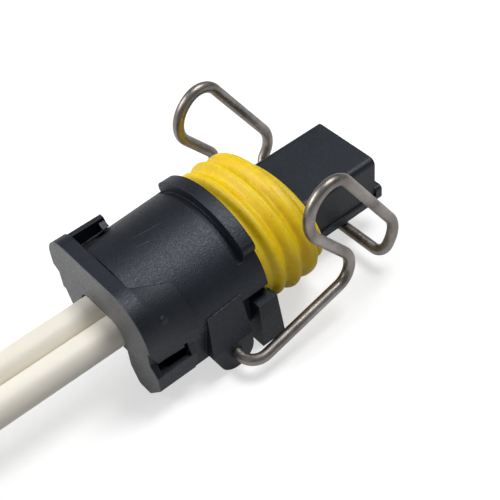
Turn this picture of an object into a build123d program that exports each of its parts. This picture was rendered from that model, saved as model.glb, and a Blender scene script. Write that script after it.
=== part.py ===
from build123d import *
import os
from math import radians, sqrt, tan

# Two-way sealed plug on two short leads, locked by a sprung wire bail.
# Millimetres. +X is the mating end, +Y the left side, +Z up. The origin is the middle of the plug's
# length, on the surface that its ears stand on.

# Lengths along the plug, one after the other; the seal's seat follows the collar
cover_thickness = 1.7
cover_gap = 0.15
barrel_length = 11.75
collar_length = 1.6
nose_length = 10.7
key_reach = 0.9

# Barrel
barrel_rear_half_width = 8.4
barrel_rear_half_height = 6.85
barrel_rear_rise = 0.1
barrel_front_half_width = 8.75
barrel_front_half_height = 7.25
barrel_front_rise = 0.3

# Half collar over the front of the barrel
collar_half_width = 9.6
collar_half_height = 7.9
collar_rise = 0.5
collar_foot = 4.4
collar_end_round = 0.9
undercut_width = 0.8
undercut_depth = 0.35

# Side panels, ears, the recess in front of each ear and the square blocks
panel_half_width = 8.5
panel_station = 4.95
panel_drop = 4.1
panel_root = 5.0
recess_half_width = 7.85
recess_top = 0.95
recess_slope_width = 0.95
recess_slope_height = 1.15
ear_half_width = 9.75
ear_inner = 6.6
ear_radius = 2.3
ear_rear_foot_reach = 3.0
ear_rear_foot_drop = 3.4
ear_rear_top_reach = 2.3
ear_rear_top = 1.4
ear_front_reach = 2.2
ear_front_top = 1.9
ear_slope_inner = 8.6
ear_slope_top = 1.6
ear_slope_foot = 3.2
pivot_station = 9.5
pivot_drop = 4.7
block_half_width = 9.6
block_station = 13.1
block_top_length = 2.5
block_foot_length = 3.15
block_drop = 0.5
block_overlap = 0.25

# Pockets in the barrel behind the cover's window and inside its left arm
latch_pocket_half_width = 6.9
latch_pocket_length = 2.75
latch_pocket_top = 0.6
latch_pocket_foot = 2.6
shoulder_pocket_inner = 5.0
shoulder_pocket_foot = 3.7
shoulder_pocket_length = 3.65

# Nose
nose_width = 9.5
nose_top = 3.07
nose_bottom = 3.35
nose_corner = 0.8
ledge_proud = 0.25
ledge_height = 0.95
key_width = 2.2
key_height = 2.0
key_corner = 0.5
front_wall = 1.2
blade_slot_width = 2.2
blade_slot_height = 1.0

# Front seal
seat_half_width = 5.6
seat_half_height = 3.9
seat_rise = 0.2
seal_half_width = 9.1
seal_half_height = 6.9
seal_rise = 0.5
seal_groove = 0.9
seal_band_length = 0.9
rib_growth_width = (0, 0.3, 0.15)
rib_growth_height = (0, 0.3, 0.05)
rib_pitch = 2.05
rib_thickness = 1.8
rib_round = 0.6
lip_half_width = 8.0
lip_half_height = 5.2
lip_rise = -0.2
lip_gap = 0.65
lip_thickness = 1.1
lip_round = 0.5
seal_end_gap = 0.1

# Leads and what they pass through
lead_diameter = 3.6
lead_pitch = 3.8
lead_rest_gap = 0.05
insulation_station = 13.5
core_diameter = 2.0
core_crimp_length = 3.6
core_tip_length = 5.5
passage_clearance = 0.15
pocket_height = 6.0
pocket_station = 8.4
lead_seal_body = 5.2
lead_seal_fit = 0.05
lead_seal_rib_length = 0.9
lead_seal_rib_count = 3

# Points of the leads' route behind the plug
route_reach_1 = 8.3
route_reach_2 = 30.2
route_height_2 = 6.0
route_side_2 = 0.7
route_reach_3 = 52
route_height_3 = 2.6
route_side_3 = -1.6
route_spread_3 = 0.05
route_reach_4 = 75
route_side_4 = -6.2
route_spread_4 = 0.1
route_reach_5 = 98.5
route_side_5 = -4.4
route_reach_6 = 121
route_side_6 = 2.6
route_spread_6 = 0.15

# Terminals
terminal_station = 14.4
terminal_width = 2.6
terminal_height = 2.8
terminal_stock = 0.3
terminal_box_length = 13.2
terminal_clearance = 0.1
crimp_length = 2.9
neck_length = 1.4
neck_width = 1.8

# Rear cover
cover_right = 8.55
cover_left = 8.75
cover_top = 7.1
cover_right_corner = 5.0
cover_left_corner = 3.5
cover_skirt = 0.9
cover_left_step = 2.1
cover_left_inset = 0.9
notch_clearance = 0.2
leg_root = 0.6
right_leg_bottom = 5.9
right_leg_inner = 4.9
right_leg_outer = 6.8
right_leg_shoulder = 1.3
right_leg_root = 7.6
right_leg_root_rise = 0.75
left_leg_bottom = 5.7
left_leg_inner = 4.6
left_leg_outer = 6.0
leg_corner = 0.6
arm_clearance = 0.1
flank_length = 4.3
flank_foot = 0.1
flank_top_rear = 4.0
flank_top_front = 5.5
flank_proud = 0.45
flank_shoulder_inset = 0.15
flank_inner = 6.5
flank_inner_top = 4.5
window_station = 0.75
window_foot = 1.25
window_length = 3.65
window_depth = 1.6
window_notch_length = 0.4
window_notch_top = 0.5
tongue_taper_top = 2.0
tongue_taper_depth = 0.4
right_arm_thickness = 0.6
right_arm_bottom = 3.3
right_arm_length = 2.9
right_bar_length = 0.7
right_bar_top = 0.5
right_bar_foot = 2.6
left_arm_half_width = 7.8
left_arm_thickness = 0.6
left_arm_top = 5.75
left_arm_foot = 2.4
left_arm_length = 4.6
left_arm_lean = 0.6
left_web_length = 0.8
left_web_inner = 6.1
left_web_inner_top = 4.95
left_web_knee_top = 5.3
left_web_foot = 3.0

# Wire bail
wire_diameter = 1.3
pin_fit = 0.05
pin_depth = 2.2
bail_arm_half_width = 12.4
bail_knee_half_width = 11.7
bail_loop_half_width = 10.6
knee_reach = 16.7
knee_rise = 2.9
loop_rear_reach = 8.3
loop_rear_rise = 13.3
loop_top_reach = 14.0
loop_top_rise = 17.2
loop_front_reach = 23.0
loop_front_rise = 3.3
crossbar_reach = 20.7
crossbar_rise = 0.2
pivot_bend = 1.9
knee_bend = 2.4
loop_rear_bend = 3.8
loop_top_bend = 2.6
loop_front_bend = 3.4
crossbar_bend = 1.3

# Derived stations and heights
rib_band_length = seal_band_length + len(rib_growth_width) * rib_pitch
seat_length = rib_band_length + lip_gap + lip_thickness + seal_end_gap
plug_length = (
    cover_thickness + cover_gap + barrel_length + collar_length + seat_length + nose_length + key_reach
)
rear_x = -plug_length / 2
barrel_x = rear_x + cover_thickness + cover_gap
collar_x = barrel_x + barrel_length
seat_x = collar_x + collar_length
nose_x = seat_x + seat_length
front_x = nose_x + nose_length
axis_z = pivot_drop + ear_radius
pivot_x = rear_x + pivot_station
pivot_z = axis_z - pivot_drop
pocket_x = rear_x + pocket_station
insulation_x = rear_x + insulation_station
terminal_x = rear_x + terminal_station
box_x = terminal_x + crimp_length + neck_length
nose_mid_z = axis_z + (nose_top - nose_bottom) / 2
lead_y = lead_pitch / 2
lead_rest_z = lead_diameter / 2 + lead_rest_gap
block_x = rear_x + block_station
ear_front_x = pivot_x + ear_front_reach
window_x = rear_x + window_station
flank_x = rear_x + cover_thickness
arm_inner = max(barrel_rear_half_width, panel_half_width) + pin_fit
arm_outer = arm_inner + right_arm_thickness
left_arm_inner = left_arm_half_width - left_arm_thickness
left_arm_x = rear_x + cover_thickness + left_arm_length
sides = (("left", 1), ("right", -1))

os.makedirs("parts", exist_ok=True)


# Outside of the barrel with a little room round it, which the cover's arms and flank follow
with BuildPart() as barrel_room:
    with BuildSketch(Plane.YZ.offset(barrel_x - cover_gap)):
        with Locations((0, axis_z + barrel_rear_rise)):
            Ellipse(barrel_rear_half_width + arm_clearance, barrel_rear_half_height + arm_clearance)
    with BuildSketch(Plane.YZ.offset(collar_x)):
        with Locations((0, axis_z + barrel_front_rise)):
            Ellipse(barrel_front_half_width + arm_clearance, barrel_front_half_height + arm_clearance)
    loft()


with BuildPart() as housing:
    # Oval barrel that swells towards its collar
    with BuildSketch(Plane.YZ.offset(barrel_x)):
        with Locations((0, axis_z + barrel_rear_rise)):
            Ellipse(barrel_rear_half_width, barrel_rear_half_height)
    with BuildSketch(Plane.YZ.offset(collar_x)) as barrel_end:
        with Locations((0, axis_z + barrel_front_rise)):
            Ellipse(barrel_front_half_width, barrel_front_half_height)
    loft()
    extrude(barrel_end.sketch, amount=collar_length)

    # Arched half collar, open below, with rounded ends
    with BuildSketch(Plane.YZ.offset(collar_x)):
        with Locations((0, axis_z + collar_rise)):
            Ellipse(collar_half_width, collar_half_height)
        with Locations((0, axis_z + collar_foot)):
            Rectangle(
                2 * (collar_half_width + collar_length),
                2 * collar_half_height,
                align=(Align.CENTER, Align.MAX),
                mode=Mode.SUBTRACT,
            )
        fillet(vertices().group_by(Axis.Y)[0], radius=collar_end_round)
    extrude(amount=collar_length)

    # Undercut behind the collar
    with BuildSketch(Plane.YZ.offset(collar_x)):
        with Locations((0, axis_z + barrel_front_rise)):
            Ellipse(collar_half_width, collar_half_height)
            Ellipse(
                barrel_front_half_width - undercut_depth,
                barrel_front_half_height - undercut_depth,
                mode=Mode.SUBTRACT,
            )
        with Locations((0, axis_z + collar_foot)):
            Rectangle(
                2 * (collar_half_width + collar_length),
                2 * collar_half_height,
                align=(Align.CENTER, Align.MAX),
                mode=Mode.SUBTRACT,
            )
    extrude(amount=-undercut_width, mode=Mode.SUBTRACT)

    # Recess in each side of the barrel, from the ear to the front of the block
    with BuildSketch(Plane.YZ.offset(ear_front_x - block_overlap)):
        Polygon(
            (-recess_half_width, 0),
            (-recess_half_width, axis_z + recess_top - recess_slope_height),
            (-recess_half_width - recess_slope_width, axis_z + recess_top),
            (-2 * recess_half_width, axis_z + recess_top),
            (-2 * recess_half_width, 0),
            align=None,
        )
        mirror(about=Plane.YZ)
    extrude(amount=seat_x - ear_front_x + block_overlap, mode=Mode.SUBTRACT)

    # Side panel, with the recess's wall in front of it
    with BuildSketch(Plane.XZ.offset(panel_root)):
        with Locations((rear_x + panel_station, axis_z)):
            Rectangle(
                block_x + block_overlap - rear_x - panel_station,
                panel_drop,
                align=(Align.MIN, Align.MAX),
            )
    extrude(amount=recess_half_width - panel_root)
    with BuildSketch(Plane.XZ.offset(panel_root)):
        with Locations((rear_x + panel_station, axis_z)):
            Rectangle(
                ear_front_x - block_overlap - rear_x - panel_station,
                panel_drop,
                align=(Align.MIN, Align.MAX),
            )
    extrude(amount=panel_half_width - panel_root)

    # Ear, whose outer face leans out from the barrel down to its round foot
    with BuildSketch(Plane.XZ.offset(ear_inner)):
        with Locations((pivot_x, pivot_z)):
            Circle(ear_radius)
        Polygon(
            (pivot_x - ear_rear_foot_reach, axis_z - ear_rear_foot_drop),
            (pivot_x - ear_rear_top_reach, axis_z + ear_rear_top),
            (ear_front_x, axis_z + ear_front_top),
            (ear_front_x, pivot_z),
            align=None,
        )
        make_hull()
    extrude(amount=ear_half_width - ear_inner)
    with BuildSketch(Plane.YZ.offset(pivot_x - ear_rear_foot_reach)):
        Polygon(
            (-ear_slope_inner, axis_z + ear_slope_top),
            (-ear_half_width, axis_z - ear_slope_foot),
            (-2 * ear_half_width, axis_z - ear_slope_foot),
            (-2 * ear_half_width, axis_z + 2 * ear_front_top),
            (-ear_slope_inner, axis_z + 2 * ear_front_top),
            align=None,
        )
    extrude(amount=ear_rear_foot_reach + ear_radius, mode=Mode.SUBTRACT)

    # Block that the plug stands on, longer at its foot
    with BuildSketch(Plane.XZ.offset(panel_root)):
        Polygon(
            (block_x, 0),
            (block_x, axis_z - block_drop),
            (block_x + block_top_length, axis_z - block_drop),
            (block_x + block_foot_length, 0),
            align=None,
        )
    extrude(amount=block_half_width - panel_root)
    with BuildSketch(Plane.YZ.offset(seat_x)):
        with Locations((0, axis_z + seal_rise)):
            Ellipse(
                seal_half_width - seal_groove + arm_clearance,
                seal_half_height - seal_groove + arm_clearance,
            )
    extrude(amount=block_x + block_foot_length - seat_x, mode=Mode.SUBTRACT)

    # Blind pivot hole
    with BuildSketch(Plane.XZ.offset(ear_half_width)):
        with Locations((pivot_x, pivot_z)):
            Circle(wire_diameter / 2 + pin_fit)
    extrude(amount=-(pin_depth + arm_clearance), mode=Mode.SUBTRACT)

    # The same on the left
    mirror(about=Plane.XZ)

    # Pocket on the right behind the cover's window, and on the left inside the cover's arm
    with BuildSketch(Plane.XZ.offset(latch_pocket_half_width)):
        with Locations((barrel_x, axis_z - latch_pocket_foot)):
            Rectangle(
                latch_pocket_length,
                latch_pocket_foot + latch_pocket_top,
                align=(Align.MIN, Align.MIN),
            )
    extrude(amount=panel_half_width - latch_pocket_half_width, mode=Mode.SUBTRACT)
    with BuildSketch(Plane.YZ.offset(barrel_x)):
        with Locations((shoulder_pocket_inner, axis_z + shoulder_pocket_foot)):
            Rectangle(
                barrel_rear_half_width - shoulder_pocket_inner,
                barrel_rear_half_height - shoulder_pocket_foot,
                align=(Align.MIN, Align.MIN),
            )
    extrude(amount=shoulder_pocket_length, mode=Mode.SUBTRACT)

    # Seal seat and nose
    with BuildSketch(Plane.YZ.offset(seat_x)):
        with Locations((0, axis_z + seat_rise)):
            Ellipse(seat_half_width, seat_half_height)
    extrude(amount=seat_length)
    with BuildSketch(Plane.YZ.offset(nose_x)):
        with Locations((0, nose_mid_z)):
            RectangleRounded(nose_width, nose_top + nose_bottom, nose_corner)
        with Locations((-nose_width / 2 - ledge_proud, axis_z - nose_bottom)):
            Rectangle(nose_width / 2, ledge_height, align=(Align.MIN, Align.MIN))
    extrude(amount=nose_length)
    with BuildSketch(Plane.YZ.offset(front_x)):
        with Locations((-nose_width / 2 - ledge_proud, axis_z - nose_bottom)):
            Rectangle(key_width, key_height, align=(Align.MIN, Align.MIN))
        fillet(vertices(), radius=key_corner)
    extrude(amount=key_reach)

    # Pocket for the lead seal, passage for the leads and a cavity and a blade slot for each terminal
    with BuildSketch(Plane.YZ.offset(barrel_x - cover_gap)):
        with Locations((0, axis_z)):
            SlotCenterToCenter(lead_pitch, pocket_height)
    extrude(amount=pocket_x - barrel_x + cover_gap, mode=Mode.SUBTRACT)
    with BuildSketch(Plane.YZ.offset(pocket_x)):
        with Locations((0, axis_z)):
            SlotCenterToCenter(lead_pitch, lead_diameter + 2 * passage_clearance)
    extrude(amount=terminal_x - pocket_x, mode=Mode.SUBTRACT)
    with BuildSketch(Plane.YZ.offset(terminal_x)):
        with Locations((-lead_y, axis_z), (lead_y, axis_z)):
            Rectangle(
                terminal_width + 2 * terminal_clearance,
                terminal_height + 2 * terminal_clearance,
            )
    extrude(amount=front_x - front_wall - terminal_x, mode=Mode.SUBTRACT)
    with BuildSketch(Plane.YZ.offset(front_x)):
        with Locations((-lead_y, axis_z), (lead_y, axis_z)):
            Rectangle(blade_slot_width, blade_slot_height)
    extrude(amount=-front_wall, mode=Mode.SUBTRACT)
housing.part.label = "housing"
export_step(housing.part, "parts/housing.step")


# Height of the barrel's rear oval, with the flank's stand-off, at a distance from the middle
def oval_height(across):
    half_width = barrel_rear_half_width + flank_proud
    half_height = barrel_rear_half_height + flank_proud
    return axis_z + barrel_rear_rise + half_height * sqrt(1 - (across / half_width) ** 2)


# Height of the plate's rounded right corner at a distance from the middle
def corner_height(across):
    run = across - cover_right + cover_right_corner
    return axis_z + cover_top - cover_right_corner + sqrt(cover_right_corner**2 - run**2)


# Clip-on rear plate, open below for the leads, with an arm on each side
with BuildPart() as rear_cover:
    with BuildSketch(Plane.YZ.offset(rear_x)):
        Polygon(
            (-right_leg_root, axis_z - cover_skirt),
            (-right_leg_root, axis_z + flank_foot),
            (-cover_right, axis_z + flank_foot),
            (-cover_right, axis_z + cover_top),
            (cover_left, axis_z + cover_top),
            (cover_left, axis_z + cover_left_step),
            (cover_left - cover_left_inset, axis_z + cover_left_step - leg_corner),
            (cover_left - cover_left_inset, axis_z - cover_skirt),
            align=None,
        )
        fillet(vertices().group_by(Axis.Y)[-1].sort_by(Axis.X)[0], radius=cover_right_corner)
        fillet(vertices().group_by(Axis.Y)[-1].sort_by(Axis.X)[-1], radius=cover_left_corner)
    extrude(amount=cover_thickness)
    with BuildSketch(Plane.YZ.offset(rear_x)):
        Polygon(
            (-lead_y, axis_z + leg_root),
            (-right_leg_inner, axis_z - right_leg_bottom),
            (-right_leg_outer, axis_z - right_leg_bottom),
            (-arm_outer, axis_z - right_arm_bottom),
            (-arm_outer, axis_z - right_leg_shoulder),
            (-right_leg_root, axis_z + right_leg_root_rise),
            align=None,
        )
        fillet(vertices().group_by(Axis.Y)[0], radius=leg_corner)
    extrude(amount=cover_thickness)
    with BuildSketch(Plane.YZ.offset(rear_x)):
        Polygon(
            (lead_y, axis_z + leg_root),
            (left_leg_inner, axis_z - left_leg_bottom),
            (left_leg_outer, axis_z - left_leg_bottom),
            (left_leg_outer + leg_corner, axis_z - right_arm_bottom),
            (cover_left - cover_left_inset, axis_z + leg_root),
            align=None,
        )
        fillet(vertices().group_by(Axis.Y)[0], radius=leg_corner)
    extrude(amount=cover_thickness)

    # Notch for the two leads
    with BuildSketch(Plane.YZ.offset(rear_x)):
        with Locations((0, axis_z)):
            SlotCenterToCenter(lead_pitch, lead_diameter + 2 * notch_clearance)
            Rectangle(
                lead_pitch + lead_diameter + 2 * notch_clearance,
                right_leg_bottom,
                align=(Align.CENTER, Align.MAX),
            )
    extrude(amount=cover_thickness, mode=Mode.SUBTRACT)

    # Flank on the right, which fairs the plate's corner into the barrel
    corner_middle = (cover_right + flank_top_rear) / 2
    with BuildSketch(Plane.YZ.offset(flank_x)):
        with BuildLine():
            Line((-cover_right, axis_z + flank_foot), (-cover_right, corner_height(cover_right)))
            ThreePointArc(
                (-cover_right, corner_height(cover_right)),
                (-corner_middle, corner_height(corner_middle)),
                (-flank_top_rear, corner_height(flank_top_rear)),
            )
            Polyline(
                (-flank_top_rear, corner_height(flank_top_rear)),
                (-flank_top_rear, axis_z + flank_inner_top),
                (-flank_inner, axis_z + flank_foot),
                (-cover_right, axis_z + flank_foot),
            )
        make_face()
    flank_front = barrel_rear_half_width + flank_proud
    flank_front_shoulder = flank_front - flank_shoulder_inset
    flank_front_middle = (flank_front_shoulder + flank_top_front) / 2
    with BuildSketch(Plane.YZ.offset(flank_x + flank_length)):
        with BuildLine():
            Line(
                (-flank_front, axis_z + flank_foot),
                (-flank_front_shoulder, oval_height(flank_front_shoulder)),
            )
            ThreePointArc(
                (-flank_front_shoulder, oval_height(flank_front_shoulder)),
                (-flank_front_middle, oval_height(flank_front_middle)),
                (-flank_top_front, oval_height(flank_top_front)),
            )
            Polyline(
                (-flank_top_front, oval_height(flank_top_front)),
                (-flank_top_front, axis_z + flank_inner_top),
                (-flank_inner, axis_z + flank_foot),
                (-flank_front, axis_z + flank_foot),
            )
        make_face()
    loft()

    # Right arm: a rail below the window, and a bar that joins its end to the flank
    with BuildSketch(Plane.XZ.offset(arm_inner)):
        with Locations((rear_x, axis_z - right_arm_bottom)):
            Rectangle(
                cover_thickness + right_arm_length,
                right_arm_bottom - window_foot,
                align=(Align.MIN, Align.MIN),
            )
    extrude(amount=right_arm_thickness)
    with BuildSketch(Plane.YZ.offset(window_x + window_length)):
        Polygon(
            (-arm_inner, axis_z + right_bar_top),
            (-arm_outer, axis_z - window_foot),
            (-arm_outer, axis_z - right_bar_foot),
            (-arm_inner, axis_z - right_bar_foot),
            align=None,
        )
    extrude(amount=right_bar_length)

    # Window between the flank and the rail, with a notch at its front and a slanted tongue at its rear
    with BuildSketch(Plane.XZ.offset(arm_outer)):
        with Locations((window_x, axis_z + flank_foot)):
            Rectangle(window_length, window_foot + flank_foot, align=(Align.MIN, Align.MAX))
        with Locations((window_x + window_length, axis_z + flank_foot)):
            Rectangle(
                window_notch_length,
                window_notch_top - flank_foot,
                align=(Align.MAX, Align.MIN),
            )
    extrude(amount=-window_depth, mode=Mode.SUBTRACT)
    with BuildSketch(Plane.XZ.offset(arm_outer)):
        Polygon(
            (rear_x, axis_z + tongue_taper_top),
            (window_x, axis_z + flank_foot),
            (rear_x, axis_z + flank_foot),
            align=None,
        )
    extrude(amount=-(arm_outer - cover_right + tongue_taper_depth), mode=Mode.SUBTRACT)

    # Left arm: a wall with a slanted end and a web that rests over the barrel
    with BuildSketch(Plane.XZ.offset(-left_arm_half_width)):
        Polygon(
            (rear_x, axis_z + left_arm_foot),
            (rear_x, axis_z + left_arm_top),
            (left_arm_x, axis_z + left_arm_top),
            (left_arm_x + left_arm_lean, axis_z + left_arm_foot),
            align=None,
        )
    extrude(amount=left_arm_thickness)
    with BuildSketch(Plane.YZ.offset(left_arm_x)):
        Polygon(
            (left_arm_half_width, axis_z + left_arm_top),
            (left_arm_inner, axis_z + left_web_knee_top),
            (left_web_inner, axis_z + left_web_inner_top),
            (left_web_inner, axis_z + left_web_foot),
            (left_arm_half_width, axis_z + left_web_foot),
            align=None,
        )
    extrude(amount=-left_web_length)
    add(barrel_room.part, mode=Mode.SUBTRACT)
rear_cover.part.label = "rear_cover"
export_step(rear_cover.part, "parts/rear_cover.step")


# Oval rubber ring with rounded ribs, a flat band behind them and a lip in front
with BuildPart() as front_seal:
    with BuildSketch(Plane.YZ.offset(seat_x)):
        with Locations((0, axis_z + seal_rise)):
            Ellipse(seal_half_width - seal_groove, seal_half_height - seal_groove)
    extrude(amount=rib_band_length)
    with BuildSketch(Plane.YZ.offset(seat_x)):
        with Locations((0, axis_z + lip_rise)):
            Ellipse(lip_half_width - seal_groove, lip_half_height - seal_groove)
    extrude(amount=seat_length - seal_end_gap)
    for rib, (wider, higher) in enumerate(zip(rib_growth_width, rib_growth_height)):
        rib_x = seat_x + seal_band_length + rib * rib_pitch + (rib_pitch - rib_thickness) / 2
        with BuildSketch(Plane.YZ.offset(rib_x)):
            with Locations((0, axis_z + seal_rise)):
                Ellipse(seal_half_width + wider, seal_half_height + higher)
        extrude(amount=rib_thickness)
        fillet(edges(Select.LAST).sort_by(SortBy.LENGTH)[-2:], radius=rib_round)
    with BuildSketch(Plane.YZ.offset(nose_x - seal_end_gap - lip_thickness)):
        with Locations((0, axis_z + lip_rise)):
            Ellipse(lip_half_width, lip_half_height)
    extrude(amount=lip_thickness)
    fillet(edges(Select.LAST).sort_by(SortBy.LENGTH)[-2:], radius=lip_round)
    with BuildSketch(Plane.YZ.offset(seat_x)):
        with Locations((0, axis_z + seat_rise)):
            Ellipse(seat_half_width, seat_half_height)
    extrude(amount=seat_length, mode=Mode.SUBTRACT)
front_seal.part.label = "front_seal"
export_step(front_seal.part, "parts/front_seal.step")


# One spring wire: from the right ear's hole along the arm, up round the finger loop, under the nose
# and back the same way on the left
bail_side = (
    (pivot_x, ear_half_width - pin_depth, pivot_z),
    (pivot_x, bail_arm_half_width, pivot_z),
    (pivot_x + knee_reach, bail_knee_half_width, pivot_z + knee_rise),
    (pivot_x + loop_rear_reach, bail_loop_half_width, pivot_z + loop_rear_rise),
    (pivot_x + loop_top_reach, bail_loop_half_width, pivot_z + loop_top_rise),
    (pivot_x + loop_front_reach, bail_loop_half_width, pivot_z + loop_front_rise),
    (pivot_x + crossbar_reach, bail_loop_half_width, pivot_z + crossbar_rise),
)
bail_bends = (pivot_bend, knee_bend, loop_rear_bend, loop_top_bend, loop_front_bend, crossbar_bend)
with BuildPart() as wire_bail:
    with BuildLine() as bail_path:
        FilletPolyline(
            [(x, -y, z) for x, y, z in bail_side] + list(reversed(bail_side)),
            radius=bail_bends + tuple(reversed(bail_bends)),
        )
    with BuildSketch(Plane(origin=bail_path.line @ 0, z_dir=bail_path.line % 0)):
        Circle(wire_diameter / 2)
    sweep()
wire_bail.part.label = "wire_bail"
export_step(wire_bail.part, "parts/wire_bail.step")


# Oval rubber plug with a hole for each lead
with BuildPart() as lead_seal:
    with BuildSketch(Plane.YZ.offset(barrel_x)):
        with Locations((0, axis_z)):
            SlotCenterToCenter(lead_pitch, lead_seal_body)
    extrude(amount=pocket_x - barrel_x)
    seal_rib_pitch = (pocket_x - barrel_x) / lead_seal_rib_count
    for rib in range(lead_seal_rib_count):
        with BuildSketch(Plane.YZ.offset(barrel_x + (rib + 0.5) * seal_rib_pitch)):
            with Locations((0, axis_z)):
                SlotCenterToCenter(lead_pitch, pocket_height - 2 * lead_seal_fit)
        extrude(amount=lead_seal_rib_length / 2, both=True)
    with BuildSketch(Plane.YZ.offset(barrel_x)):
        with Locations((-lead_y, axis_z), (lead_y, axis_z)):
            Circle(lead_diameter / 2)
    extrude(amount=pocket_x - barrel_x, mode=Mode.SUBTRACT)
lead_seal.part.label = "lead_seal"
export_step(lead_seal.part, "parts/lead_seal.step")


# Sockets for the mating blades: a box, a neck and a crimp round the core
for side_name, side in sides:
    with BuildPart() as terminal:
        with BuildSketch(Plane.YZ.offset(terminal_x)):
            with Locations((side * lead_y, axis_z)):
                Circle(core_diameter / 2 + terminal_stock)
                Circle(core_diameter / 2, mode=Mode.SUBTRACT)
        extrude(amount=crimp_length)
        with BuildSketch(Plane.YZ.offset(terminal_x + crimp_length)):
            with Locations((side * lead_y, axis_z - core_diameter / 2 - terminal_stock)):
                Rectangle(neck_width, 2 * terminal_stock, align=(Align.CENTER, Align.MIN))
        extrude(amount=neck_length)
        with BuildSketch(Plane.YZ.offset(box_x)):
            with Locations((side * lead_y, axis_z)):
                RectangleRounded(terminal_width, terminal_height, terminal_stock)
                Rectangle(
                    terminal_width - 2 * terminal_stock,
                    terminal_height - 2 * terminal_stock,
                    mode=Mode.SUBTRACT,
                )
        extrude(amount=terminal_box_length)
    terminal.part.label = f"terminal_{side_name}"
    export_step(terminal.part, f"parts/terminal_{side_name}.step")


# Leads, stripped at both ends: straight through the plug and out of its rear, then down to the
# surface and along it. Each point: reach behind the rear face, height, side of the pair's middle and
# what the two leads spread beyond their pitch
lead_route = (
    (-insulation_station, axis_z, 0, 0),
    (route_reach_1, axis_z, 0, 0),
    (route_reach_2, route_height_2, route_side_2, 0),
    (route_reach_3, route_height_3, route_side_3, route_spread_3),
    (route_reach_4, lead_rest_z, route_side_4, route_spread_4),
    (route_reach_5, lead_rest_z, route_side_5, route_spread_4),
    (route_reach_6, lead_rest_z, route_side_6, route_spread_6),
)
for side_name, side in sides:
    points = [
        Vector(rear_x - reach, across + side * (lead_y + spread), height)
        for reach, height, across, spread in lead_route
    ]
    radii = []
    for before, here, after in zip(points, points[1:], points[2:]):
        run_in = here - before
        run_out = after - here
        half_turn = radians(run_in.get_angle(run_out)) / 2
        radii.append(0.45 * min(run_in.length, run_out.length) / tan(half_turn))
    with BuildPart() as lead:
        with BuildLine() as lead_path:
            FilletPolyline(points, radius=radii)
        with BuildSketch(Plane(origin=lead_path.line @ 0, z_dir=lead_path.line % 0)):
            Circle(lead_diameter / 2)
        sweep()
    lead.part.label = f"lead_{side_name}"
    export_step(lead.part, f"parts/lead_{side_name}.step")
    print(lead.part.label, "radii", [round(radius, 1) for radius in radii])
    lead_length = lead_path.wires()[0].length
    print(lead.part.label, "length", round(lead_length, 2))

    with BuildPart() as core_tip:
        with BuildSketch(Plane(origin=lead_path.line @ 1, z_dir=lead_path.line % 1)):
            Circle(core_diameter / 2)
        extrude(amount=core_tip_length)
    core_tip.part.label = f"core_tip_{side_name}"
    export_step(core_tip.part, f"parts/core_tip_{side_name}.step")

    with BuildPart() as core_crimp:
        with BuildSketch(Plane.YZ.offset(insulation_x)):
            with Locations((side * lead_y, axis_z)):
                Circle(core_diameter / 2)
        extrude(amount=core_crimp_length)
    core_crimp.part.label = f"core_crimp_{side_name}"
    export_step(core_crimp.part, f"parts/core_crimp_{side_name}.step")
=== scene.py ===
import math

import bpy
from mathutils import Matrix, Vector


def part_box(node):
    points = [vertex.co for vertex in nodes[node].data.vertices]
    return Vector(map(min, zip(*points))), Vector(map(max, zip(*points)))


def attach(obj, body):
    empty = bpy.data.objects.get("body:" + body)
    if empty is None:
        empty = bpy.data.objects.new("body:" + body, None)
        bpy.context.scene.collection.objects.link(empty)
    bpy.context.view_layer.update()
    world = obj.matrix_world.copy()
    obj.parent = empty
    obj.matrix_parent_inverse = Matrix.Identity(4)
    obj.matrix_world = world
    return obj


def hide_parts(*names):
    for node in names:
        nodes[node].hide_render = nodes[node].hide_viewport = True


MM = 0.001

# Leads, in millimetres. Their route repeats the model's own: the place ahead of the rear face, the
# sway to the left, the height, and half the gap between the two axes.
LEAD_DIAMETER = 3.6
LEAD_PITCH = 3.8
LEAD_AXIS_HEIGHT = 7.0
INSULATION_STATION = 13.5
CORE_TIP_LENGTH = 5.5
LEAD_ROUTE = (
    (INSULATION_STATION, 0, LEAD_AXIS_HEIGHT, LEAD_PITCH / 2),
    (-8.3, 0, LEAD_AXIS_HEIGHT, LEAD_PITCH / 2),
    (-30.2, 0.7, 6.0, LEAD_PITCH / 2),
    (-52, -1.6, 2.6, 1.95),
    (-75, -6.2, 1.85, 2.0),
    (-98.5, -4.4, 1.85, 2.0),
    (-121, 2.6, 1.85, 2.05),
)

# Strands of a stripped core: how many lie at each distance from its axis, in millimetres, then the
# width of one, its turns round the axis and the steps that it is drawn in
STRAND_RINGS = ((1, 0.0), (6, 0.4), (12, 0.78))
STRAND_DIAMETER = 0.4
STRAND_TURNS = 0.35
STRAND_STEPS = 8

# Front seal, whose soft ribs swell and sink in one wave. A rib's shortfall is how much less wide and
# high it is than the middle one, and a rise is how far a ring's middle lies above the plug's axis.
# The steps are those of one rib, of a rounded corner and of a whole ring, and an edge that turns
# more than the sharp angle, in degrees, stays crisp.
SEAL_RISE = 0.5
SEAL_GROOVE = 0.9
RIB_SHORTFALL = ((0.3, 0.3), (0.0, 0.0), (0.15, 0.25))
FIRST_RIB_STATION = 1.925
RIB_PITCH = 2.05
RIB_THICKNESS = 1.8
RIB_ROUND = 0.6
VALLEY_DEPTH = 0.8
VALLEY_SHARPNESS = 2.4
LIP_HALF_WIDTH = 8.0
LIP_HALF_HEIGHT = 5.2
LIP_RISE = -0.2
LIP_THICKNESS = 1.1
LIP_ROUND = 0.5
BORE_HALF_WIDTH = 5.6
BORE_HALF_HEIGHT = 3.9
BORE_RISE = 0.2
RIB_STEPS = 16
ROUND_STEPS = 6
RING_STEPS = 160
SHARP_ANGLE = 40

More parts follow.
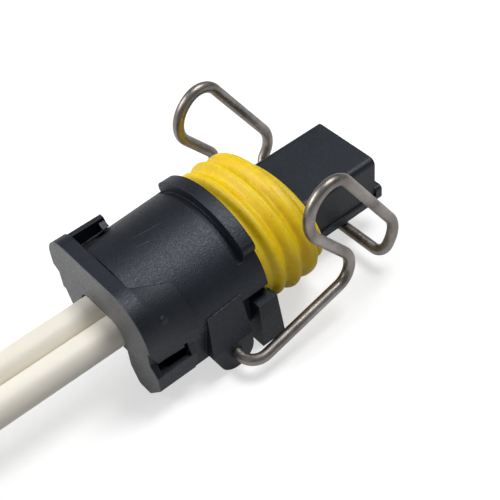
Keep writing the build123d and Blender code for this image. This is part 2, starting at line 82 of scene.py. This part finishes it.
# Black plastic: the round that its edges seem to have, its sheen, and how deep into the cover the
# pale grey painted on its rear face, a painted reflection of the bright floor, starts to fade and is
# gone
EDGE_ROUND = 0.14
EDGE_SAMPLES = 6
BLUE_SHEEN = (0.84, 0.91, 1.0, 1)
PAINTED_REFLECTION_FADE = (0.02, 0.1)

# Small marks of the moulding on the barrel and the cover: the points that each runs through, in
# millimetres, and its width
BARREL_SCRATCHES = (
    ((-12.6, 1.35, 14.12), (-6.2, 0.5, 14.3)),
    ((-13.0, 0.1, 14.2), (-10.9, -0.3, 14.2)),
)
SCRATCH_WIDTH = 0.12
BARREL_WITNESS_LINE = ((-11.05, -8.5, 7.75), (-9.15, -8.5, 8.35), (-7.55, -8.5, 8.66))
WITNESS_WIDTH = 0.2
COVER_DIMPLE = ((-15.05, -7.7, 11.5), (-14.95, -7.7, 11.5))
DIMPLE_WIDTH = 0.55

# Camera, fitted to the photograph: its place in millimetres, its right, up and back directions, its
# lens and sensor in millimetres, and the nearest and farthest that it sees, in metres
CAMERA_PLACE = (-47.597, -69.187, 92.763)
CAMERA_RIGHT = (0.7591, -0.6459, -0.0802)
CAMERA_UP = (0.5138, 0.5190, 0.6831)
CAMERA_BACK = (-0.3996, -0.5598, 0.7259)
CAMERA_LENS = 78.23
CAMERA_SENSOR = 36
CAMERA_RANGE = (0.001, 10)

# Strength of the plain sky that lights the object, and the lamps: the place of each and its width in
# metres, its watts, and where both point
SKY_LEVEL = 0.22
KEY_LAMP = ((0.3, 0.0, 0.84), 0.4, 5.2)
FILL_LAMP = ((-0.92, 0.62, 0.72), 0.8, 12.0)
LAMP_AIM = (-0.02, 0, 0)

# Floor: its width in metres, its gap below the object in millimetres, its grey under the lamps, the
# glow that the camera sees on it, and the share of that glow that reflections show
FLOOR_WIDTH = 3
FLOOR_GAP = 0.02
FLOOR_GREY = (0.5, 0.5, 0.5, 1)
FLOOR_GLOW = 0.6
FLOOR_IN_REFLECTIONS = (0.45, 0.45, 0.45)

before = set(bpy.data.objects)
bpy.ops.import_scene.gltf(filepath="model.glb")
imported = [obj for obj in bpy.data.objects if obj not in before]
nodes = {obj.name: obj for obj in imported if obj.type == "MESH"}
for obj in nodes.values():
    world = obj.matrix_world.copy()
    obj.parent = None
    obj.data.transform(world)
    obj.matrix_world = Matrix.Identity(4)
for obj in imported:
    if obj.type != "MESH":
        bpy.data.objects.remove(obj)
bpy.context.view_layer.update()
rear_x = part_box("rear_cover")[0].x / MM
SIDES = (("left", 1), ("right", -1))


# Camera

def make_camera():
    camera = bpy.data.objects.new("camera", bpy.data.cameras.new("camera"))
    bpy.context.scene.collection.objects.link(camera)
    camera.data.sensor_width = CAMERA_SENSOR
    camera.data.lens = CAMERA_LENS
    camera.data.clip_start, camera.data.clip_end = CAMERA_RANGE
    columns = zip(CAMERA_RIGHT, CAMERA_UP, CAMERA_BACK)
    turn = Matrix([list(row) for row in columns]).to_quaternion()
    place = Vector(CAMERA_PLACE) * MM
    camera.matrix_world = Matrix.Translation(place) @ turn.to_matrix().to_4x4()
    bpy.context.scene.camera = camera


# Materials

class Shader:
    """A new material with its Principled shader and short calls for the nodes round it."""

    def __init__(self, name, roughness, metallic=0.0, **values):
        self.material = bpy.data.materials.new(name)
        self.material.use_nodes = True
        self.tree = self.material.node_tree
        self.principled = self.tree.nodes["Principled BSDF"]
        self.principled.inputs["Roughness"].default_value = roughness
        self.principled.inputs["Metallic"].default_value = metallic
        for socket, value in values.items():
            self.principled.inputs[socket.replace("_", " ")].default_value = value
        self.coordinates = self.tree.nodes.new("ShaderNodeTexCoord").outputs["Object"]

    def link(self, output, socket):
        self.tree.links.new(output, socket)

    def scaled(self, x, y, z):
        """Object coordinates stretched by a factor along each axis."""
        mapping = self.tree.nodes.new("ShaderNodeMapping")
        mapping.inputs["Scale"].default_value = (x, y, z)
        self.link(self.coordinates, mapping.inputs["Vector"])
        return mapping.outputs["Vector"]

    def noise(self, size, detail=3.0, stretch=(1, 1, 1), roughness=0.5, distortion=0.0):
        """Noise whose features are about size millimetres across."""
        texture = self.tree.nodes.new("ShaderNodeTexNoise")
        texture.inputs["Scale"].default_value = 1 / (size * MM)
        texture.inputs["Detail"].default_value = detail
        texture.inputs["Roughness"].default_value = roughness
        texture.inputs["Distortion"].default_value = distortion
        self.link(self.scaled(*stretch), texture.inputs["Vector"])
        return texture.outputs["Fac"]

    def ramp(self, value, *stops):
        """A colour ramp: each stop is (position, colour or grey)."""
        node = self.tree.nodes.new("ShaderNodeValToRGB")
        while len(node.color_ramp.elements) < len(stops):
            node.color_ramp.elements.new(0.5)
        for element, (position, colour) in zip(node.color_ramp.elements, stops):
            element.position = position
            shade = (colour, colour, colour) if isinstance(colour, float) else colour
            element.color = (*shade, 1)
        self.link(value, node.inputs["Fac"])
        return node.outputs["Color"]

    def mix(self, kind, factor, first, second):
        """Two colours mixed; factor, first and second are outputs or constants."""
        node = self.tree.nodes.new("ShaderNodeMixRGB")
        node.blend_type = kind
        for socket, value in zip(("Fac", "Color1", "Color2"), (factor, first, second)):
            if isinstance(value, (float, tuple)):
                shade = value if isinstance(value, float) else (*value, 1)
                node.inputs[socket].default_value = shade
            else:
                self.link(value, node.inputs[socket])
        return node.outputs["Color"]

    def colour(self, output):
        self.link(output, self.principled.inputs["Base Color"])

    def rough(self, output):
        self.link(output, self.principled.inputs["Roughness"])

    def vector(self, operation, *operands):
        """A vector operation on outputs or constants, by its usual output."""
        node = self.tree.nodes.new("ShaderNodeVectorMath")
        node.operation = operation
        for socket, value in zip(node.inputs, operands):
            if isinstance(value, bpy.types.NodeSocket):
                self.link(value, socket)
            else:
                socket.default_value = value
        is_number = operation in ("DOT_PRODUCT", "DISTANCE")
        return node.outputs["Value" if is_number else "Vector"]

    def fade(self, value, start, end, course="LINEAR"):
        """1 while a length stays below start millimetres, falling to 0 at end millimetres."""
        node = self.tree.nodes.new("ShaderNodeMapRange")
        node.interpolation_type = course
        node.inputs["From Min"].default_value = start * MM
        node.inputs["From Max"].default_value = end * MM
        node.inputs["To Min"].default_value = 1
        node.inputs["To Max"].default_value = 0
        self.link(value, node.inputs["Value"])
        return node.outputs["Result"]

    def near(self, start, end, width):
        """1 on the straight stretch between two points in millimetres, and 0 a width away from it."""
        start = Vector(start) * MM
        reach = Vector(end) * MM - start
        offset = self.vector("SUBTRACT", self.coordinates, start)
        along = self.vector("DOT_PRODUCT", offset, reach / reach.length_squared)
        share = self.tree.nodes.new("ShaderNodeClamp")
        self.link(along, share.inputs["Value"])
        spread = self.tree.nodes.new("ShaderNodeCombineXYZ")
        for axis in "XYZ":
            self.link(share.outputs["Result"], spread.inputs[axis])
        foot = self.vector("MULTIPLY", spread.outputs["Vector"], reach)
        return self.fade(self.vector("DISTANCE", offset, foot), 0, width, "SMOOTHSTEP")

    def soft_edges(self, radius):
        """Rounds the look of sharp edges by a radius in millimetres."""
        node = self.tree.nodes.new("ShaderNodeBevel")
        node.samples = EDGE_SAMPLES
        node.inputs["Radius"].default_value = radius * MM
        self.link(node.outputs["Normal"], self.principled.inputs["Normal"])

    def bump(self, height, depth, invert=False):
        """Bump of about depth millimetres, on top of what is there already."""
        node = self.tree.nodes.new("ShaderNodeBump")
        node.invert = invert
        node.inputs["Distance"].default_value = depth * MM
        self.link(height, node.inputs["Height"])
        normal = self.principled.inputs["Normal"]
        if normal.links:
            self.link(normal.links[0].from_socket, node.inputs["Normal"])
        self.link(node.outputs["Normal"], normal)


def srgb(red, green, blue):
    """Screen values from 0 to 255 as linear colour."""
    def linear(value):
        value /= 255
        return value / 12.92 if value <= 0.04045 else ((value + 0.055) / 1.055) ** 2.4
    return (linear(red), linear(green), linear(blue))


def moulded_plastic(name, dark, light):
    """Black glass-filled nylon: blue-black clouds, a fine sparkling grain and softened edges."""
    shader = Shader(name, roughness=0.45, Specular_IOR_Level=0.5, Specular_Tint=BLUE_SHEEN)
    shader.cloud = shader.noise(5.0, detail=5, distortion=0.4)
    shader.shades = shader.ramp(shader.cloud, (0.3, dark), (0.7, light))
    shader.colour(shader.shades)
    shader.rough(shader.ramp(shader.noise(0.25, detail=5), (0.3, 0.36), (0.7, 0.54)))
    shader.soft_edges(EDGE_ROUND)
    shader.bump(shader.noise(0.17, detail=2, roughness=0.8), depth=0.038)
    return shader


def housing_plastic():
    shader = moulded_plastic("housing_plastic", srgb(11, 14, 22), srgb(19, 23, 32))
    for start, end in BARREL_SCRATCHES:
        shader.bump(shader.near(start, end, SCRATCH_WIDTH), depth=0.03)
    for start, end in zip(BARREL_WITNESS_LINE, BARREL_WITNESS_LINE[1:]):
        shader.bump(shader.near(start, end, WITNESS_WIDTH), depth=0.06, invert=True)
    return shader.material


def cover_plastic():
    """The same nylon, with pale grey painted on its rear face as a painted reflection, and an ejector
    dimple.
    """
    shader = moulded_plastic("cover_plastic", srgb(12, 15, 23), srgb(20, 24, 33))
    place = shader.tree.nodes.new("ShaderNodeSeparateXYZ")
    shader.link(shader.coordinates, place.inputs["Vector"])
    # Pale grey painted on the rear face, fading off into the cover: a painted reflection of the
    # bright floor
    fade_start, fade_end = PAINTED_REFLECTION_FADE
    painted_reflection_mask = shader.fade(place.outputs["X"], rear_x + fade_start, rear_x + fade_end)
    painted_reflection_grey = shader.ramp(shader.cloud, (0.3, srgb(76, 76, 77)), (0.7, srgb(94, 94, 95)))
    shader.colour(shader.mix("MIX", painted_reflection_mask, shader.shades, painted_reflection_grey))
    shader.bump(shader.near(*COVER_DIMPLE, DIMPLE_WIDTH), depth=0.15)
    return shader.material


def seal_rubber():
    """Soft silicone that lets a little light through, with mottled colour and small pits."""
    shader = Shader("front_seal_rubber", roughness=0.5, Subsurface_Weight=0.5)
    shader.principled.inputs["Subsurface Radius"].default_value = (1.6 * MM, 1.2 * MM, 0.1 * MM)
    cloud = shader.noise(1.8, detail=6, distortion=0.8, roughness=0.6)
    mottled = shader.ramp(cloud, (0.3, srgb(222, 186, 4)), (0.7, srgb(235, 206, 12)))
    pits = shader.noise(0.45, detail=2)
    dots = shader.ramp(pits, (0.68, 0.0), (0.76, 1.0))
    shader.colour(shader.mix("MIX", dots, mottled, srgb(186, 146, 22)))
    shader.rough(shader.ramp(cloud, (0.3, 0.42), (0.7, 0.56)))
    shader.bump(shader.noise(0.9, detail=4), depth=0.03)
    shader.bump(dots, depth=0.02, invert=True)
    return shader.material


def drawn_wire():
    """Spring steel with the dull brown-grey film of drawn wire and small bright rubs."""
    shader = Shader("spring_steel", roughness=0.38, metallic=1.0)
    cloud = shader.noise(3.5, detail=6, distortion=0.6)
    film = shader.ramp(cloud, (0.3, srgb(120, 114, 110)), (0.7, srgb(166, 160, 155)))
    rubs = shader.ramp(shader.noise(0.7, detail=6, roughness=0.7), (0.6, 0.0), (0.75, 1.0))
    shader.colour(shader.mix("MIX", rubs, film, srgb(182, 177, 172)))
    shader.rough(shader.ramp(shader.noise(0.5, detail=5), (0.3, 0.34), (0.75, 0.5)))
    shader.bump(shader.noise(0.4, detail=3), depth=0.008)
    return shader.material


def lead_insulation():
    """Smooth extruded plastic in warm off-white, faintly streaked along the lead."""
    shader = Shader("lead_insulation", roughness=0.5, Subsurface_Weight=0.05)
    shader.principled.inputs["Subsurface Radius"].default_value = (0.8 * MM, 0.7 * MM, 0.5 * MM)
    cloud = shader.noise(4.0, detail=5, stretch=(0.25, 1, 1))
    shader.colour(
        shader.ramp(cloud, (0.3, srgb(226, 220, 207)), (0.7, srgb(236, 231, 220)))
    )
    shader.rough(shader.ramp(shader.noise(0.8, detail=4), (0.3, 0.42), (0.7, 0.58)))
    shader.bump(shader.noise(0.7, detail=4, stretch=(0.15, 1, 1)), depth=0.02)
    return shader.material


def plain_rubber():
    shader = Shader("lead_seal_rubber", roughness=0.6)
    shader.colour(
        shader.ramp(shader.noise(1.5), (0.3, srgb(108, 110, 112)), (0.7, srgb(122, 124, 126)))
    )
    shader.bump(shader.noise(0.3), depth=0.01)
    return shader.material


def tinned_metal():
    shader = Shader("terminal_plate", roughness=0.3, metallic=1.0)
    shader.colour(
        shader.ramp(shader.noise(1.0), (0.3, srgb(196, 194, 188)), (0.7, srgb(214, 212, 206)))
    )
    return shader.material


def bare_copper():
    shader = Shader("core_copper", roughness=0.3, metallic=1.0)
    shader.colour(
        shader.ramp(shader.noise(0.7), (0.3, srgb(196, 122, 84)), (0.7, srgb(222, 150, 108)))
    )
    return shader.material


def backdrop():
    """Floor that the camera sees as white and reflections as light grey, with the shadow kept."""
    shader = Shader("floor", roughness=0.9, Specular_IOR_Level=0.0)
    shader.principled.inputs["Base Color"].default_value = FLOOR_GREY
    path = shader.tree.nodes.new("ShaderNodeLightPath")
    mirrored = shader.mix("MULTIPLY", 1.0, path.outputs["Is Glossy Ray"], FLOOR_IN_REFLECTIONS)
    lift = shader.mix("ADD", 1.0, path.outputs["Is Camera Ray"], mirrored)
    shader.link(lift, shader.principled.inputs["Emission Color"])
    shader.principled.inputs["Emission Strength"].default_value = FLOOR_GLOW
    return shader.material


# Leads

def lead_points(side):
    """Control points of one lead, in metres."""
    return [
        Vector((rear_x + x, y + side * half_gap, z)) * MM
        for x, y, z, half_gap in LEAD_ROUTE
    ]


def nurbs_curve(name, splines, diameter, material, steps=24, roundness=12):
    """A curve object of round section, with one smooth spline for each list of points."""
    data = bpy.data.curves.new(name, "CURVE")
    data.dimensions = "3D"
    data.resolution_u = steps
    data.bevel_depth = diameter / 2
    data.bevel_resolution = roundness
    data.use_fill_caps = True
    for points in splines:
        spline = data.splines.new("NURBS")
        spline.points.add(len(points) - 1)
        for control, point in zip(spline.points, points):
            control.co = (*point, 1)
        spline.order_u = 3
        spline.use_endpoint_u = True
    data.materials.append(material)
    curve = bpy.data.objects.new(name, data)
    bpy.context.scene.collection.objects.link(curve)
    return curve


def strand_points(start, along, radius, angle):
    """One strand of the stripped core, laid round its axis with a slight twist."""
    across = along.orthogonal().normalized()
    other = along.cross(across)
    points = []
    for step in range(STRAND_STEPS + 1):
        share = step / STRAND_STEPS
        turn = angle + share * STRAND_TURNS * 2 * math.pi
        offset = across * math.cos(turn) + other * math.sin(turn)
        points.append(start + along * (share * CORE_TIP_LENGTH * MM) + offset * radius * MM)
    return points


def make_lead(name, side, insulation, copper):
    points = lead_points(side)
    lead = nurbs_curve(f"lead_{name}_insulation", [points], LEAD_DIAMETER * MM, insulation)
    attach(lead, "plug")
    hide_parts(f"lead_{name}")

    along = (points[-1] - points[-2]).normalized()
    splines = [
        strand_points(points[-1], along, radius, 2 * math.pi * index / count)
        for count, radius in STRAND_RINGS
        for index in range(count)
    ]
    strands = nurbs_curve(
        f"core_{name}_strands", splines, STRAND_DIAMETER * MM, copper, steps=3, roundness=2
    )
    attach(strands, "plug")
    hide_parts(f"core_tip_{name}")


# Front seal

def seal_profile(length, half_width, half_height):
    """Rings round the seal's section: the station, half width, half height and rise of each."""
    def rib_ring(station, place, sink):
        rear = min(max(int(place), 0), len(RIB_SHORTFALL) - 2)
        share = min(max(place - rear, 0), 1)
        short = Vector(RIB_SHORTFALL[rear]).lerp(Vector(RIB_SHORTFALL[rear + 1]), share)
        return station, half_width - short.x - sink, half_height - short.y - sink, SEAL_RISE

    def lip_ring(station, sink):
        return station, LIP_HALF_WIDTH - sink, LIP_HALF_HEIGHT - sink, LIP_RISE

    def bore_ring(station):
        return station, BORE_HALF_WIDTH, BORE_HALF_HEIGHT, BORE_RISE

    last_rib = len(RIB_SHORTFALL) - 1
    rib_front = FIRST_RIB_STATION + last_rib * RIB_PITCH + RIB_THICKNESS / 2
    lip_rear = length - LIP_THICKNESS
    quarter = [math.pi / 2 * step / ROUND_STEPS for step in range(ROUND_STEPS + 1)]

    rings = [rib_ring(0, 0, SEAL_GROOVE)]
    for step in range(int((last_rib + 0.5) * RIB_STEPS) + 1):
        place = step / RIB_STEPS - 0.5
        sink = VALLEY_DEPTH * abs(math.sin(math.pi * place)) ** VALLEY_SHARPNESS
        rings.append(rib_ring(FIRST_RIB_STATION + place * RIB_PITCH, place, sink))
    for turn in quarter:
        short_of_end = RIB_ROUND * (1 - math.sin(turn))
        rings.append(rib_ring(rib_front - short_of_end, last_rib, RIB_ROUND * (1 - math.cos(turn))))
    rings += [lip_ring(rib_front, SEAL_GROOVE), lip_ring(lip_rear, SEAL_GROOVE)]
    for turn in quarter:
        past_rear = LIP_ROUND * (1 - math.cos(turn))
        rings.append(lip_ring(lip_rear + past_rear, LIP_ROUND * (1 - math.sin(turn))))
    for turn in quarter:
        short_of_end = LIP_ROUND * (1 - math.sin(turn))
        rings.append(lip_ring(length - short_of_end, LIP_ROUND * (1 - math.cos(turn))))
    return rings + [bore_ring(length), bore_ring(0)]


def ring_points(station, half_width, half_height, rise):
    """Points of one oval ring across the plug, in metres."""
    points = []
    for step in range(RING_STEPS):
        turn = 2 * math.pi * step / RING_STEPS
        up = LEAD_AXIS_HEIGHT + rise + half_height * math.sin(turn)
        points.append(Vector((station, half_width * math.cos(turn), up)) * MM)
    return points


def make_seal(rubber):
    """The rubber seal as one closed mesh, in the box of the model's own."""
    low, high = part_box("front_seal")
    length, width, height = (high - low) / MM
    points = []
    for station, *oval in seal_profile(length, width / 2, height / 2):
        points += ring_points(low.x / MM + station, *oval)
    faces = []
    for here in range(0, len(points), RING_STEPS):
        front = (here + RING_STEPS) % len(points)
        for step in range(RING_STEPS):
            beside = (step + 1) % RING_STEPS
            faces.append((here + step, here + beside, front + beside, front + step))
    mesh = bpy.data.meshes.new("front_seal_ring")
    mesh.from_pydata(points, [], faces)
    mesh.shade_smooth()
    mesh.set_sharp_from_angle(angle=math.radians(SHARP_ANGLE))
    mesh.materials.append(rubber)
    seal = bpy.data.objects.new("front_seal_ring", mesh)
    bpy.context.scene.collection.objects.link(seal)
    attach(seal, "plug")
    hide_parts("front_seal")


# Finish of the model's own pieces

def dress(name, material):
    """Gives a piece of the frame its material."""
    piece = nodes[name]
    piece.data.materials.clear()
    piece.data.materials.append(material)


# Floor and lights

def make_floor():
    bpy.ops.mesh.primitive_plane_add(size=FLOOR_WIDTH, location=(0, 0, -FLOOR_GAP * MM))
    floor = bpy.context.object
    floor.name = "floor"
    floor.data.materials.append(backdrop())


def area_light(name, place, width, watts):
    data = bpy.data.lights.new(name, "AREA")
    data.shape = "DISK"
    data.size = width
    data.energy = watts
    light = bpy.data.objects.new(name, data)
    bpy.context.scene.collection.objects.link(light)
    light.location = place
    light.rotation_euler = (Vector(LAMP_AIM) - Vector(place)).to_track_quat("-Z", "Y").to_euler()


def make_lights():
    world = bpy.data.worlds.new("studio")
    bpy.context.scene.world = world
    world.use_nodes = True
    tree = world.node_tree
    sky = tree.nodes["Background"]
    sky.inputs["Color"].default_value = (1, 1, 1, 1)
    path = tree.nodes.new("ShaderNodeLightPath")
    level = tree.nodes.new("ShaderNodeMapRange")
    level.inputs["To Min"].default_value = SKY_LEVEL
    level.inputs["To Max"].default_value = 1
    tree.links.new(path.outputs["Is Camera Ray"], level.inputs["Value"])
    tree.links.new(level.outputs["Result"], sky.inputs["Strength"])
    area_light("key", *KEY_LAMP)
    area_light("fill", *FILL_LAMP)


make_camera()
insulation = lead_insulation()
copper = bare_copper()
for side_name, side_sign in SIDES:
    make_lead(side_name, side_sign, insulation, copper)

dress("housing", housing_plastic())
dress("rear_cover", cover_plastic())
make_seal(seal_rubber())
dress("wire_bail", drawn_wire())
dress("lead_seal", plain_rubber())
tinned = tinned_metal()
for side_name, side_sign in SIDES:
    dress(f"terminal_{side_name}", tinned)
    dress(f"core_crimp_{side_name}", copper)

make_floor()
make_lights()

bpy.context.scene.view_settings.view_transform = "Standard"
